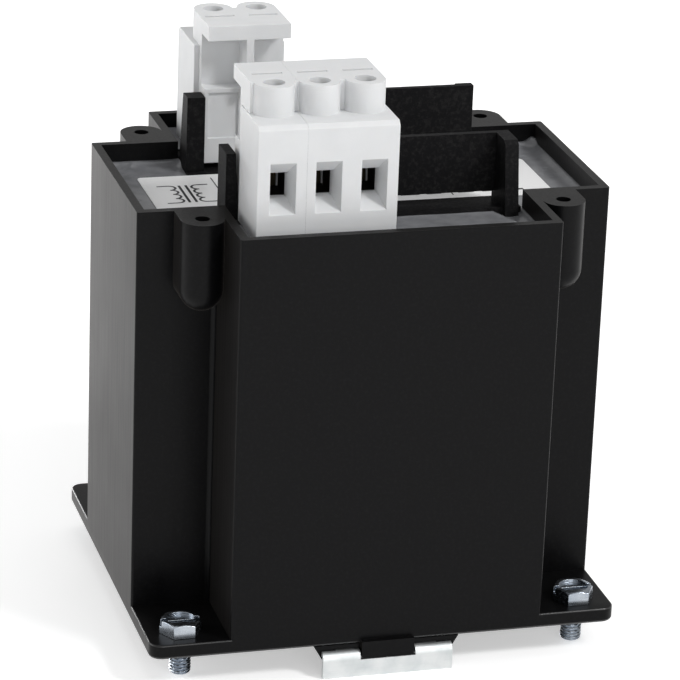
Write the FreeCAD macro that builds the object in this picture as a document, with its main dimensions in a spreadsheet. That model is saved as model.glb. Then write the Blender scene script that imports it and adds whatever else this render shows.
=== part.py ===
import FreeCAD, Part
import os
import re
import Sketcher
from FreeCAD import Rotation, Vector

# Encapsulated single-phase transformer on a chassis and rail base, sizes in millimetres.
# X runs along the long side, -Y is the front with the three input terminals, +Z is up.
# The origin is the middle of the base's underside, the plane that meets the panel or rail.

doc = FreeCAD.newDocument("transformer")

SIZES = [
    # Laminations: an EI set with a 35 mm centre leg
    ("leg_wide", 35.0),
    ("window_wide", 17.5),
    ("window_tall", 52.5),
    ("yoke_tall", 17.5),
    ("stack_deep", 45.5),
    # Housing
    ("wall", 2.0),
    ("core_gap", 0.7),
    ("base_thick", 3.6),
    ("base_corner", 3.0),
    ("base_top_edge", 0.4),
    ("base_low_edge", 0.8),
    ("pot_edge", 0.6),
    ("core_foot", 1.9),
    ("foot_wide", 12.0),
    ("rim_tall", 99.3),
    ("boss_radius", 5.0),
    ("boss_reach", 6.3),
    ("boss_tall", 21.2),
    ("pilot_bore", 3.4),
    ("pilot_deep", 14.0),
    # Winding former
    ("former_play", 0.35),
    ("former_deep", 90.1),
    ("former_gap", 0.2),
    ("former_fit", 0.3),
    ("tube_wall", 1.2),
    ("cheek", 1.6),
    ("primary_thick", 6.6),
    ("primary_corner", 6.0),
    ("insulation_thick", 0.6),
    ("secondary_thick", 6.4),
    ("wrap_thick", 0.5),
    ("resin_cover", 0.8),
    # Rating label
    ("label_margin", 5.7),
    ("label_deep", 26.0),
    ("label_thick", 0.2),
    ("label_back", 0.9),
    # Terminal carriers
    ("ledge_over_resin", 1.8),
    ("ledge_inset", 0.4),
    ("carrier_wall", 1.6),
    ("front_wall_tall", 15.5),
    ("back_wall_tall", 16.6),
    ("wall_lift", 1.6),
    ("wall_inner", 15.6),
    ("ledge_end_in", 9.9),
    ("ledge_end_out", 1.4),
    ("front_post_wide", 2.2),
    ("front_post_foot", 3.3),
    ("front_post_out", 23.0),
    ("back_post_wide", 4.3),
    ("back_post_out", 20.2),
    ("back_post_foot", 23.1),
    ("front_fin_inset", 4.65),
    ("front_fin_wide", 3.2),
    ("front_fin_out", 23.9),
    ("front_fin_foot", 26.3),
    ("back_fin_inset", 4.05),
    ("back_fin_wide", 4.0),
    ("back_fin_out", 18.8),
    ("fin_round", 0.9),
    # Terminal blocks
    ("pitch", 10.35),
    ("end_plate", 0.1),
    ("side_plate", 0.8),
    ("neck_plate", 0.35),
    ("front_row_inset", 3.65),
    ("back_row_inset", 4.05),
    ("block_out", 40.2),
    ("tower_out", 29.9),
    ("tower_side", 5.0),
    ("tower_radius", 4.6),
    ("block_tall", 33.8),
    ("tower_tall", 6.9),
    ("block_bevel", 1.0),
    ("lip_over", 2.9),
    ("lip_reach", 6.9),
    ("lip_tall", 3.5),
    ("shelf_tall", 18.0),
    ("block_step", 23.6),
    ("panel_deep", 0.6),
    ("panel_tall", 11.0),
    ("panel_top", 1.0),
    ("block_fit", 0.2),
    ("rib_wide", 1.8),
    ("mouth_wide", 5.9),
    ("mouth_tall", 11.8),
    ("mouth_low", 6.5),
    ("throat_wide", 4.2),
    ("throat_tall", 6.0),
    ("throat_drop", 0.5),
    ("mouth_deep", 4.4),
    ("driver_bore", 4.8),
    ("slot_wide", 7.0),
    ("slot_deep", 3.0),
    ("slot_thick", 1.0),
    ("slot_out", 23.2),
    # Clamps, screws and contact bars
    ("cage_wide", 6.4),
    ("cage_deep", 6.0),
    ("cage_tall", 11.6),
    ("cage_wall", 1.0),
    ("cage_roof", 2.2),
    ("cage_fit", 0.3),
    ("bar_wide", 3.6),
    ("bar_thick", 1.2),
    ("bar_fit", 0.2),
    ("bar_tail", 8.0),
    ("clamp_thread", 3.5),
    ("clamp_head", 4.4),
    ("clamp_head_tall", 2.4),
    ("lead_radius", 0.7),
    # Mounting screws, M5 with slotted and indented hexagon heads
    ("screw_x", 46.9),
    ("screw_y", 40.4),
    ("thread_radius", 2.5),
    ("thread_fit", 0.15),
    ("neck_radius", 2.24),
    ("neck_below", 0.3),
    ("screw_long", 10.0),
    ("head_flats", 8.6),
    ("head_tall", 3.3),
    ("head_crown", 4.2),
    ("head_dish", 3.3),
    ("head_dish_deep", 0.7),
    ("head_slot", 1.2),
    ("tip_edge", 0.5),
    # Rail foot
    ("rail_half", 17.5),
    ("pad_top_half", 17.2),
    ("pad_low_half", 15.2),
    ("pad_tall", 3.4),
    ("pad_fit", 0.3),
    ("pad_face_back", 0.25),
    ("hook_reach", 1.8),
    ("hook_groove", 1.3),
    ("strip_thick", 1.2),
    ("strip_drop", 1.2),
    ("strip_fit", 0.2),
    ("nose_reach", 2.0),
    ("lip_half", 15.4),
    ("lip_drop", 7.4),
    ("neck_half", 12.0),
    ("ear_half", 13.6),
    ("ear_long", 6.0),
    ("latch_travel", 5.0),
    ("bend_radius", 2.0),
    ("gap_half", 6.5),
    ("tongue_fit", 0.3),
    ("tongue_out", 1.7),
    ("peg_half", 2.4),
    ("peg_thick", 1.5),
    ("spring_radius", 1.2),
    ("spring_wire", 0.2),
    ("spring_pitch", 1.6),
]

# The four corners, as signs of X and Y
FOUR = [(-1, -1), (1, -1), (1, 1), (-1, 1)]

# Sizes that follow from the ones above
RULES = {
    "former_wide": "leg_wide + 2*window_wide - 2*former_play",
    "label_wide": "lam_wide - 2*label_margin",
    "front_row_left": "front_row_inset - former_wide/2",
    "back_row_left": "back_row_inset - former_wide/2",
    "front_fin_left": "former_wide/2 - front_fin_inset",
    "back_fin_left": "former_wide/2 - back_fin_inset",
    "lam_wide": "leg_wide + 2*window_wide + 2*yoke_tall",
    "lam_tall": "window_tall + 2*yoke_tall",
    "body_wide": "lam_wide + 2*core_gap + 2*wall",
    "body_deep": "stack_deep + 2*core_gap + 2*wall",
    "bay_wide": "former_wide + 2*former_gap + 2*wall",
    "base_deep": "former_deep + 2*former_gap + 2*wall",
    "floor_z": "base_thick",
    "rim_z": "rim_tall",
    "core_z": "floor_z + core_foot",
    "core_top": "core_z + lam_tall",
    "resin_top": "core_top + resin_cover",
    "window_z": "core_z + yoke_tall",
    "former_z": "window_z + former_fit",
    "former_tall": "window_tall - 2*former_fit",
    "former_top": "former_z + former_tall",
    "tube_wide": "leg_wide + 2*former_fit + 2*tube_wall",
    "tube_deep": "stack_deep + 2*former_fit + 2*tube_wall",
    "coil_z": "former_z + cheek",
    "coil_tall": "former_tall - 2*cheek",
    "ledge_z": "resin_top + ledge_over_resin",
    "carrier_in": "stack_deep/2 + former_fit",
    "carrier_out": "former_deep/2 - ledge_inset",
    "block_in": "wall_inner + carrier_wall + block_fit",
    "lip_in": "block_in - lip_over",
    "neck_in": "lip_in + lip_reach",
    "shoulder_z": "ledge_z + block_tall - tower_tall",
    "tower_z": "ledge_z + block_tall",
    "mouth_z": "ledge_z + mouth_low",
    "throat_z": "mouth_z + mouth_tall/2 - throat_drop - throat_tall/2",
    "cage_z": "throat_z - cage_wall",
    "cage_in": "tower_out - cage_deep/2",
    "bar_z": "cage_z + cage_tall - cage_roof - bar_thick - bar_fit",
    "bar_in": "cage_in - cage_fit - bar_thick - bar_fit",
    "clamp_z": "bar_z + bar_thick",
    "head_z": "cage_z + cage_tall + cage_fit",
    "screw_z": "floor_z",
    "pad_z": "0 - pad_tall",
    "strip_z": "0 - strip_drop - strip_thick",
    "pad_face": "base_deep/2 - pad_face_back",
    "pad_in": "rail_half + pad_fit",
    "nose_in": "rail_half - nose_reach",
    "stop_out": "nose_in + 16 + ear_long + latch_travel + strip_fit",
}


# The sheet of driving sizes
sheet = doc.addObject("Spreadsheet::Sheet", "sizes")
for row, (word, number) in enumerate(SIZES, start=1):
    sheet.set(f"A{row}", word)
    sheet.set(f"B{row}", str(number))
    sheet.setAlias(f"B{row}", word)
doc.recompute()


def refer(text):
    """Turn the words of a formula into references to the sheet."""
    def one(found):
        word = found.group(0)
        if word in RULES:
            return "(" + refer(RULES[word]) + ")"
        return "sizes." + word
    return re.sub(r"[a-z][a-z_]+", one, str(text))


def bind(item, **formulas):
    """Tie the named properties of an object to the sheet."""
    for name, text in formulas.items():
        item.setExpression(name, refer(text))


def place(item, x, y, z):
    """Tie the place of an object to the sheet."""
    item.setExpression("Placement.Base.x", refer(x))
    item.setExpression("Placement.Base.y", refer(y))
    item.setExpression("Placement.Base.z", refer(z))


def block(name, x, y, z, wide, deep, tall):
    """A box from its low corner."""
    item = doc.addObject("Part::Box", name)
    bind(item, Length=wide, Width=deep, Height=tall)
    place(item, x, y, z)
    return item


def slab(name, wide, deep, z, tall):
    """A box centred on the Z axis."""
    return block(name, f"-({wide})/2", f"-({deep})/2", z, wide, deep, tall)


def facing(name, side, x, near, far, z, wide, tall):
    """A box between two distances from the middle, on the front or the back side."""
    start = f"-({far})" if side < 0 else near
    return block(name, x, start, z, wide, f"({far}) - ({near})", tall)


def rod(name, x, y, z, radius, tall):
    """An upright cylinder."""
    item = doc.addObject("Part::Cylinder", name)
    bind(item, Radius=radius, Height=tall)
    place(item, x, y, z)
    return item


def fuse(name, pieces):
    item = doc.addObject("Part::MultiFuse", name)
    item.Shapes = pieces
    return item


def cut(name, base, pieces):
    tool = pieces[0] if len(pieces) == 1 else fuse(name + "_tool", pieces)
    item = doc.addObject("Part::Cut", name)
    item.Base = base
    item.Tool = tool
    return item


def group(name, pieces):
    """Separate solids of one sort, kept in one node."""
    item = doc.addObject("Part::Compound", name)
    item.Links = pieces
    return item


def outline(body, plane, points):
    """A closed polygon whose corners are tied to the sheet."""
    sketch = body.newObject("Sketcher::SketchObject", body.Name + "_outline")
    origin = [item for item in body.Origin.OriginFeatures if item.Role == plane][0]
    sketch.AttachmentSupport = [(origin, "")]
    sketch.MapMode = "FlatFace"
    values = [(number(across), number(up)) for across, up in points]
    count = len(values)
    for index in range(count):
        start = Vector(*values[index], 0)
        end = Vector(*values[(index + 1) % count], 0)
        sketch.addGeometry(Part.LineSegment(start, end))
    for index in range(count):
        sketch.addConstraint(Sketcher.Constraint("Coincident", index, 2, (index + 1) % count, 1))
    for index, (across, up) in enumerate(points):
        for kind, text, value in (("DistanceX", across, values[index][0]), ("DistanceY", up, values[index][1])):
            held = sketch.addConstraint(Sketcher.Constraint(kind, -1, 1, index, 1, value))
            sketch.setExpression(f"Constraints[{held}]", refer(text))
    return sketch


def number(text):
    """The value of a formula for the sheet as it stands."""
    def one(found):
        word = found.group(0)
        if word in RULES:
            return "(" + RULES[word] + ")"
        return str(sheet.get(word))
    out = str(text)
    while re.search(r"[a-z]", out):
        out = re.sub(r"[a-z][a-z_]+", one, out)
    return total(out)


def total(text):
    """Add up a formula of plain numbers."""
    tokens = re.findall(r"\d+\.?\d*(?:e-?\d+)?|[-+*/()]", text)
    value, rest = sum_of(tokens)
    return value


def sum_of(tokens):
    value, tokens = product_of(tokens)
    while tokens and tokens[0] in "+-":
        sign = 1 if tokens[0] == "+" else -1
        term, tokens = product_of(tokens[1:])
        value += sign * term
    return value, tokens


def product_of(tokens):
    value, tokens = factor_of(tokens)
    while tokens and tokens[0] in "*/":
        sign = tokens[0]
        term, tokens = factor_of(tokens[1:])
        value = value * term if sign == "*" else value / term
    return value, tokens


def factor_of(tokens):
    if tokens[0] == "-":
        value, tokens = factor_of(tokens[1:])
        return -value, tokens
    if tokens[0] == "(":
        value, tokens = sum_of(tokens[1:])
        return value, tokens[1:]
    return float(tokens[0]), tokens[1:]


def pad(body, sketch, long, middle=True):
    item = body.newObject("PartDesign::Pad", body.Name + "_pad")
    item.Profile = sketch
    item.Midplane = middle
    item.setExpression("Length", refer(long))
    return item


def rounded(name, wide, deep, z, tall, corner):
    """A block centred on the Z axis, with rounded upright corners."""
    body = doc.addObject("PartDesign::Body", name)
    half_x = f"({wide})/2"
    half_y = f"({deep})/2"
    corners = [(f"-{half_x}", f"-{half_y}"), (half_x, f"-{half_y}"), (half_x, half_y), (f"-{half_x}", half_y)]
    mass = pad(body, outline(body, "XY_Plane", corners), tall, middle=False)
    round_edges(body, mass, name + "_round", is_upright, corner)
    body.setExpression("Placement.Base.z", refer(z))
    return body


def round_edges(body, before, name, wanted, radius):
    """Round those edges of the last feature that a test picks."""
    doc.recompute()
    picked = [f"Edge{i}" for i, edge in enumerate(before.Shape.Edges, start=1) if wanted(edge)]
    item = body.newObject("PartDesign::Fillet", name)
    item.Base = (before, picked)
    item.setExpression("Radius", refer(radius))
    return item


def is_upright(edge):
    box = edge.BoundBox
    return box.ZLength > 0.5 and box.XLength < 0.01 and box.YLength < 0.01


def is_top(edge):
    return edge.BoundBox.ZMin > 0.5


def is_bottom(edge):
    return edge.BoundBox.ZMax < 0.01


def extruded(name, plane, points, long, x="0", y="0", z="0"):
    """A polygon on one of the main planes, drawn out square to it and moved."""
    body = doc.addObject("PartDesign::Body", name)
    pad(body, outline(body, plane, points), long, middle=False)
    place(body, x, y, z)
    return body


# Housing of black glass-filled polyamide: a cross-shaped pot on a square base
def make_housing():
    plate = rounded("housing_base", "body_wide", "base_deep", "0", "base_thick", "base_corner")
    softer = round_edges(plate, doc.getObject("housing_base_round"), "base_top_round", is_top, "base_top_edge")
    round_edges(plate, softer, "base_low_round", is_bottom, "base_low_edge")
    solids = [plate]
    solids.append(rounded("pot_long", "body_wide", "body_deep", "base_low_edge", "rim_z - base_low_edge", "pot_edge"))
    solids.append(rounded("pot_bay", "bay_wide", "base_deep", "base_low_edge", "rim_z - base_low_edge", "pot_edge"))
    solids += corner_bosses()
    solids += rail_pads()
    holes = [
        slab("room_long", "body_wide - 2*wall", "body_deep - 2*wall", "floor_z", "rim_tall"),
        slab("room_bay", "bay_wide - 2*wall", "base_deep - 2*wall", "floor_z", "rim_tall"),
    ]
    for index, (side_x, side_y) in enumerate(FOUR):
        x = f"{side_x}*(bay_wide/2 + boss_radius)"
        y = f"{side_y}*(body_deep/2 + boss_reach)"
        holes.append(rod(f"pilot_{index}", x, y, "rim_z - pilot_deep", "pilot_bore/2", "pilot_deep"))
        x = f"{side_x}*screw_x"
        y = f"{side_y}*screw_y"
        holes.append(rod(f"clear_{index}", x, y, "-1", "thread_radius + thread_fit", "base_thick + 2"))
    holes += latch_rooms()
    shell = cut("shell", fuse("housing_mass", solids), holes)
    feet = []
    for index, side_x in enumerate((-1, 1)):
        x = f"{side_x}*(lam_wide/2 - foot_wide/2) - foot_wide/2"
        feet.append(block(f"core_rest_{index}", x, "-stack_deep/2", "floor_z", "foot_wide", "stack_deep", "core_foot"))
    feet.append(block("peg", "-peg_half", "-(stop_out) - peg_thick", "pad_z", "2*peg_half", "peg_thick", "pad_tall"))
    return fuse("housing", [shell] + feet)


# Screw bosses in the four inner corners, rounded below
def corner_bosses():
    pieces = []
    for index, (side_x, side_y) in enumerate(FOUR):
        x = f"{side_x}*(bay_wide/2 + boss_radius)"
        y = f"{side_y}*(body_deep/2 + boss_reach)"
        pieces.append(rod(f"boss_{index}", x, y, "rim_z - boss_tall + boss_radius", "boss_radius", "boss_tall - boss_radius"))
        ball = doc.addObject("Part::Sphere", f"boss_end_{index}")
        bind(ball, Radius="boss_radius")
        place(ball, x, y, "rim_z - boss_tall + boss_radius")
        pieces.append(ball)
        tunnel = doc.addObject("Part::Cylinder", f"boss_root_{index}")
        bind(tunnel, Radius="boss_radius", Height="boss_reach")
        tunnel.Placement = FreeCAD.Placement(Vector(0, 0, 0), Rotation(Vector(1, 0, 0), -90))
        root_y = "body_deep/2" if side_y > 0 else "-(body_deep/2 + boss_reach)"
        place(tunnel, x, root_y, "rim_z - boss_tall + boss_radius")
        pieces.append(tunnel)
        web_x = f"{side_x}*(bay_wide/2) - {0 if side_x > 0 else 1}*boss_radius"
        web_y = f"{side_y}*(body_deep/2) - {0 if side_y > 0 else 1}*boss_reach"
        tall = "boss_tall - boss_radius"
        pieces.append(block(f"web_{index}", web_x, web_y, f"rim_z - ({tall})", "boss_radius", "boss_reach", tall))
        web_x = f"{side_x}*(bay_wide/2 + boss_radius) - {0 if side_x > 0 else 1}*boss_radius"
        pieces.append(block(f"web_far_{index}", web_x, web_y, f"rim_z - ({tall})", "boss_radius", "boss_reach", tall))
    return pieces


# Moulded pads that sit on the rail: the front one guides the latch, the back one is a hook
def rail_pads():
    pieces = []
    for name, side, inner in (("front_pad", -1, "pad_in"), ("back_pad", 1, "pad_in")):
        body = doc.addObject("PartDesign::Body", name)
        section = [("-pad_low_half", "pad_z"), ("pad_low_half", "pad_z"), ("pad_top_half", "0"), ("-pad_top_half", "0")]
        item = pad(body, outline(body, "XZ_Plane", section), f"pad_face - ({inner})", middle=False)
        start = f"-({inner})" if side < 0 else "pad_face"
        body.setExpression("Placement.Base.y", refer(start))
        pieces.append(body)
    tongue_half = "gap_half - tongue_fit"
    tongue_tall = "strip_drop + bend_radius - tongue_fit"
    pieces.append(facing("latch_guide", -1, f"-({tongue_half})", "pad_face - 1", "pad_face + tongue_out", f"-({tongue_tall})", f"2*({tongue_half})", f"{tongue_tall} + 1"))
    hook_tall = "pad_tall - hook_groove"
    pieces.append(block("hook", "-pad_low_half", "pad_in - hook_reach", "pad_z", "2*pad_low_half", "hook_reach + 1", hook_tall))
    return pieces


# Slot for the latch in the front pad, wide behind and narrow at the face
def latch_rooms():
    tall = "strip_thick + 2*strip_fit"
    z = "strip_z - strip_fit"
    return [
        facing("neck_room", -1, "-(neck_half + strip_fit)", "pad_in - 1", "pad_face + 1", z, "2*(neck_half + strip_fit)", tall),
        facing("ear_room", -1, "-(ear_half + strip_fit)", "pad_in - 1", "stop_out", z, "2*(ear_half + strip_fit)", tall),
        facing("spring_room", -1, "-(spring_radius + spring_wire + strip_fit)", "nose_in + 14", "stop_out", "pad_z - 1", "2*(spring_radius + spring_wire + strip_fit)", "pad_tall + 0.8"),
    ]


# Iron core: a stack of E laminations, closed above by the I laminations
def make_core():
    whole = slab("e_block", "lam_wide", "stack_deep", "core_z", "lam_tall - yoke_tall")
    windows = []
    for index, side_x in enumerate((-1, 1)):
        x = f"{side_x}*(leg_wide/2) - {0 if side_x > 0 else 1}*window_wide"
        windows.append(block(f"window_{index}", x, "-stack_deep/2 - 1", "window_z", "window_wide", "stack_deep + 2", "window_tall + 1"))
    cut("core_e_stack", whole, windows)
    slab("core_i_stack", "lam_wide", "stack_deep", "core_top - yoke_tall", "yoke_tall")


# Winding former: a square tube with two cheeks
def make_former():
    pieces = [
        slab("tube", "tube_wide", "tube_deep", "former_z", "former_tall"),
        slab("low_cheek", "former_wide", "former_deep", "former_z", "cheek"),
        slab("high_cheek", "former_wide", "former_deep", "former_top - cheek", "cheek"),
    ]
    bore = slab("tube_bore", "tube_wide - 2*tube_wall", "tube_deep - 2*tube_wall", "former_z - 1", "former_tall + 2")
    slots = []
    for side, left, count in ((-1, "front_row_left", 3), (1, "back_row_left", 2)):
        for index in range(count):
            x = f"{left} + tower_side + {index}*pitch"
            y = f"{side}*(bar_in + bar_thick/2)"
            slots.append(rod(f"lead_slot_{side + 1}_{index}", x, y, "former_top - cheek - 1", "lead_radius", "cheek + 2"))
    cut("winding_former", fuse("former_mass", pieces), [bore] + slots)


# Layers of the coil from the inside out, each wound on the one before
def make_coil():
    layers = [
        ("primary_winding", "primary_thick"),
        ("winding_insulation", "insulation_thick"),
        ("secondary_winding", "secondary_thick"),
        ("outer_wrap", "wrap_thick"),
    ]
    inner = slab("tube_outside", "tube_wide", "tube_deep", "coil_z", "coil_tall")
    grown = "0"
    for name, thick in layers:
        grown = f"{grown} + {thick}"
        corner = f"primary_corner - primary_thick + {grown}"
        outer = rounded(name + "_outside", f"tube_wide + 2*({grown})", f"tube_deep + 2*({grown})", "coil_z", "coil_tall", corner)
        cut(name, outer, [inner])
        inner = outer


# Carrier that stands on the upper cheek and holds a row of terminals
def make_carrier(name, row, side, count, fin_foot):
    left = f"{row}_row_left"
    row_end = f"{left} + {count}*pitch + end_plate + block_fit"
    fin_left = f"{row}_fin_left"
    far = f"{row}_fin_left + {row}_fin_wide"
    wall_z = "resin_top + wall_lift + 1.8"
    top = f"resin_top + {row}_wall_tall + 1.8"
    tall = f"{top} - (resin_top)"
    half = "former_wide/2"
    lift = "ledge_z - former_top"
    foot = "former_wide/2 - ledge_inset"
    ledge = [
        (f"-({half})", f"{side}*(carrier_in)"),
        (f"{half} - ledge_end_in", f"{side}*(carrier_in)"),
        (f"{half} - ledge_end_out", f"{side}*(carrier_out)"),
        (f"-({half})", f"{side}*(carrier_out)"),
    ]
    fin = [
        (f"{side}*wall_inner", "resin_top"),
        (f"{side}*({fin_foot})", "resin_top"),
        (f"{side}*{row}_fin_out", f"{top} - fin_round"),
        (f"{side}*({row}_fin_out - fin_round)", top),
        (f"{side}*wall_inner", top),
    ]
    pieces = [
        extruded(name + "_ledge", "XY_Plane", ledge, "ledge_over_resin", z="resin_top"),
        extruded(name + "_fin", "YZ_Plane", fin, f"{row}_fin_wide", x=fin_left),
        facing(name + "_foot", side, f"-({half})", "wall_inner", "carrier_in", "resin_top", f"{row}_post_wide", "ledge_over_resin"),
        facing(name + "_spine", side, f"-({half})", "carrier_in", "carrier_in + carrier_wall", "former_top", f"{half} + {foot}", "resin_top + ledge_over_resin - (former_top)"),
        facing(name + "_far_rib", side, f"{half} - ledge_end_in - carrier_wall", "carrier_in", "carrier_out", "former_top", "carrier_wall", lift),
        facing(name + "_near_rib", side, left, "carrier_in", "carrier_out", "former_top", "carrier_wall", lift),
        facing(name + "_wall", side, row_end, "wall_inner", "wall_inner + carrier_wall", wall_z, f"{far} - ({row_end})", f"{top} - ({wall_z})"),
        facing(name + "_wall_rib", side, row_end, "wall_inner", "carrier_in + carrier_wall", "ledge_z", "carrier_wall", f"{top} - (ledge_z)"),
    ]
    if row == "front":
        post = [(f"-({half})", "resin_top"), (f"front_post_foot - {half}", "resin_top"), (f"front_post_wide - {half}", top), (f"-({half})", top)]
        pieces.append(extruded(name + "_post", "XZ_Plane", post, "front_post_out - wall_inner", y="0 - wall_inner"))
    else:
        post = [("wall_inner", "resin_top"), ("back_post_foot", "resin_top"), ("back_post_out", top), ("wall_inner", top)]
        pieces.append(extruded(name + "_post", "YZ_Plane", post, "back_post_wide", x=f"-({half})"))
    slots = []
    for index in range(count):
        x = f"{left} + tower_side + {index}*pitch - bar_wide/2 - bar_fit"
        slots.append(facing(f"{name}_slot_{index}", side, x, "bar_in - bar_fit", "bar_in + bar_thick + bar_fit", "resin_top - 1", "bar_wide + 2*bar_fit", "ledge_over_resin + 2"))
    cut(name, fuse(name + "_mass", pieces), slots)


# Terminal block of light grey polyamide, cut by wire mouths, driver bores, slots and clamp rooms.
# Its outer half is wider than its neck and towers.
def make_terminal(name, side, left, count, low, high, neck_low, neck_high):
    front = [
        ("block_step", "ledge_z"),
        ("block_out", "ledge_z"),
        ("block_out", "shoulder_z - block_bevel"),
        ("block_out - block_bevel", "shoulder_z"),
        ("block_step", "shoulder_z"),
    ]
    neck = [
        ("block_in", "ledge_z"),
        ("tower_out", "ledge_z"),
        ("tower_out", "tower_z"),
        ("lip_in", "tower_z"),
        ("lip_in", "tower_z - lip_tall"),
        ("neck_in", "tower_z - lip_tall"),
        ("neck_in", "ledge_z + shelf_tall"),
        ("block_in", "ledge_z + shelf_tall"),
    ]
    front = [(f"{side}*({out})", z) for out, z in front]
    neck = [(f"{side}*({out})", z) for out, z in neck]
    pieces = [
        extruded(name + "_front", "YZ_Plane", front, f"{high} - ({low})", x=low),
        extruded(name + "_neck", "YZ_Plane", neck, f"{neck_high} - ({neck_low})", x=neck_low),
    ]
    holes = []
    for index in range(count):
        x = f"{left} + tower_side + {index}*pitch"
        y = f"{side}*tower_out"
        pieces.append(rod(f"{name}_tower_{index}", x, y, "shoulder_z - 1", "tower_radius", "tower_tall + 1"))
        holes.append(rod(f"{name}_bore_{index}", x, y, "clamp_z", "driver_bore/2", "block_tall"))
        holes.append(facing(f"{name}_slot_{index}", side, f"{x} - slot_wide/2", "slot_out - slot_thick/2", "slot_out + slot_thick/2", "tower_z - slot_deep", "slot_wide", "slot_deep + 1"))
        holes.append(facing(f"{name}_room_{index}", side, f"{x} - cage_wide/2 - cage_fit", "cage_in - cage_fit", "cage_in + cage_deep + cage_fit", "cage_z - cage_fit", "cage_wide + 2*cage_fit", "cage_tall + 2*cage_fit"))
        holes.append(facing(f"{name}_throat_{index}", side, f"{x} - throat_wide/2", "cage_in + cage_deep", "block_out - mouth_deep + 0.1", "throat_z", "throat_wide", "throat_tall"))
        holes.append(facing(f"{name}_bar_room_{index}", side, f"{x} - bar_wide/2 - bar_fit", "bar_in - bar_fit", "cage_in", "ledge_z - 1", "bar_wide + 2*bar_fit", "clamp_z + bar_fit - (ledge_z) + 1"))
        holes.append(facing(f"{name}_panel_{index}", side, f"{x} - tower_radius + panel_top", "block_in - 1", "block_in + panel_deep", "ledge_z + shelf_tall - panel_top - panel_tall", "2*(tower_radius - panel_top)", "panel_tall"))
        holes.append(mouth(f"{name}_mouth_{index}", side, x))
    if count > 1:
        x = f"{left} + pitch - rib_wide/2"
        pieces.append(facing(f"{name}_rib", side, x, "lip_in", "neck_in", "ledge_z + shelf_tall", "rib_wide", "block_tall - shelf_tall - lip_tall"))
    cut(name, fuse(f"{name}_mass", pieces), holes)


def mouth(name, side, x):
    """The funnel that leads a wire to its clamp."""
    item = doc.addObject("Part::Wedge", name)
    bind(item, Ymin="0", Ymax="mouth_deep")
    wide = ("mouth_wide", "throat_wide") if side < 0 else ("throat_wide", "mouth_wide")
    outer = ("-mouth_tall/2", "mouth_tall/2")
    inner = ("-throat_tall/2 - throat_drop", "throat_tall/2 - throat_drop")
    low, high = (outer, inner) if side < 0 else (inner, outer)
    bind(item, Xmin=f"-{wide[0]}/2", Xmax=f"{wide[0]}/2", Zmin=low[0], Zmax=low[1])
    bind(item, X2min=f"-{wide[1]}/2", X2max=f"{wide[1]}/2", Z2min=high[0], Z2max=high[1])
    y = "-block_out" if side < 0 else "block_out - mouth_deep"
    place(item, x, y, "mouth_z + mouth_tall/2")
    return item


# Rising cages, their screws and the contact bars of one row
def make_clamps(row, side, left, count):
    cages = []
    screws = []
    bars = []
    leads = []
    for index in range(count):
        x = f"{left} + tower_side + {index}*pitch"
        y = f"{side}*tower_out"
        tag = f"{row}_{index}"
        cage = facing(f"cage_block_{tag}", side, f"{x} - cage_wide/2", "cage_in", "cage_in + cage_deep", "cage_z", "cage_wide", "cage_tall")
        opening = facing(f"cage_window_{tag}", side, f"{x} - cage_wide/2 + cage_wall", "cage_in - 1", "cage_in + cage_deep + 1", "cage_z + cage_wall", "cage_wide - 2*cage_wall", "cage_tall - cage_wall - cage_roof")
        thread = rod(f"cage_thread_{tag}", x, y, "cage_z + cage_tall - cage_roof - 1", "clamp_thread/2", "cage_roof + 2")
        cages.append(cut(f"cage_{tag}", cage, [opening, thread]))
        shank = rod(f"clamp_shank_{tag}", x, y, "clamp_z", "clamp_thread/2 - 0.05", "head_z - (clamp_z)")
        head = rod(f"clamp_head_{tag}", x, y, "head_z", "clamp_head/2", "clamp_head_tall")
        drive = block(f"clamp_drive_{tag}", f"{x} - clamp_head/2", f"{y} - 0.4", "head_z + clamp_head_tall - 1", "clamp_head", "0.8", "2")
        screws.append(cut(f"clamp_screw_{tag}", fuse(f"clamp_blank_{tag}", [shank, head]), [drive]))
        flat = facing(f"bar_flat_{tag}", side, f"{x} - bar_wide/2", "bar_in", "cage_in + cage_deep", "bar_z", "bar_wide", "bar_thick")
        tail = facing(f"bar_tail_{tag}", side, f"{x} - bar_wide/2", "bar_in", "bar_in + bar_thick", "ledge_z - bar_tail", "bar_wide", "bar_z + bar_thick - (ledge_z) + bar_tail")
        bars.append(fuse(f"bar_{tag}", [flat, tail]))
        leads.append(rod(f"lead_{tag}", x, f"{side}*(bar_in + bar_thick/2)", "former_top - cheek", "lead_radius", "ledge_z - bar_tail - (former_top - cheek)"))
    group(f"{row}_clamp_cages", cages)
    group(f"{row}_clamp_screws", screws)
    group(f"{row}_contact_bars", bars)
    group(f"{row}_lead_wires", leads)


# Resin cast round the core and coil, and the rating label on it
def make_resin(sunk):
    mass = fuse("resin_mass", [
        slab("resin_long", "body_wide - 2*wall", "body_deep - 2*wall", "floor_z", "resin_top - floor_z"),
        slab("resin_bay", "bay_wide - 2*wall", "base_deep - 2*wall", "floor_z", "resin_top - floor_z"),
    ])
    cut("potting_resin", mass, sunk)
    block("rating_label", "-label_wide/2", "label_back - label_deep/2", "resin_top", "label_wide", "label_deep", "label_thick")


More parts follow.
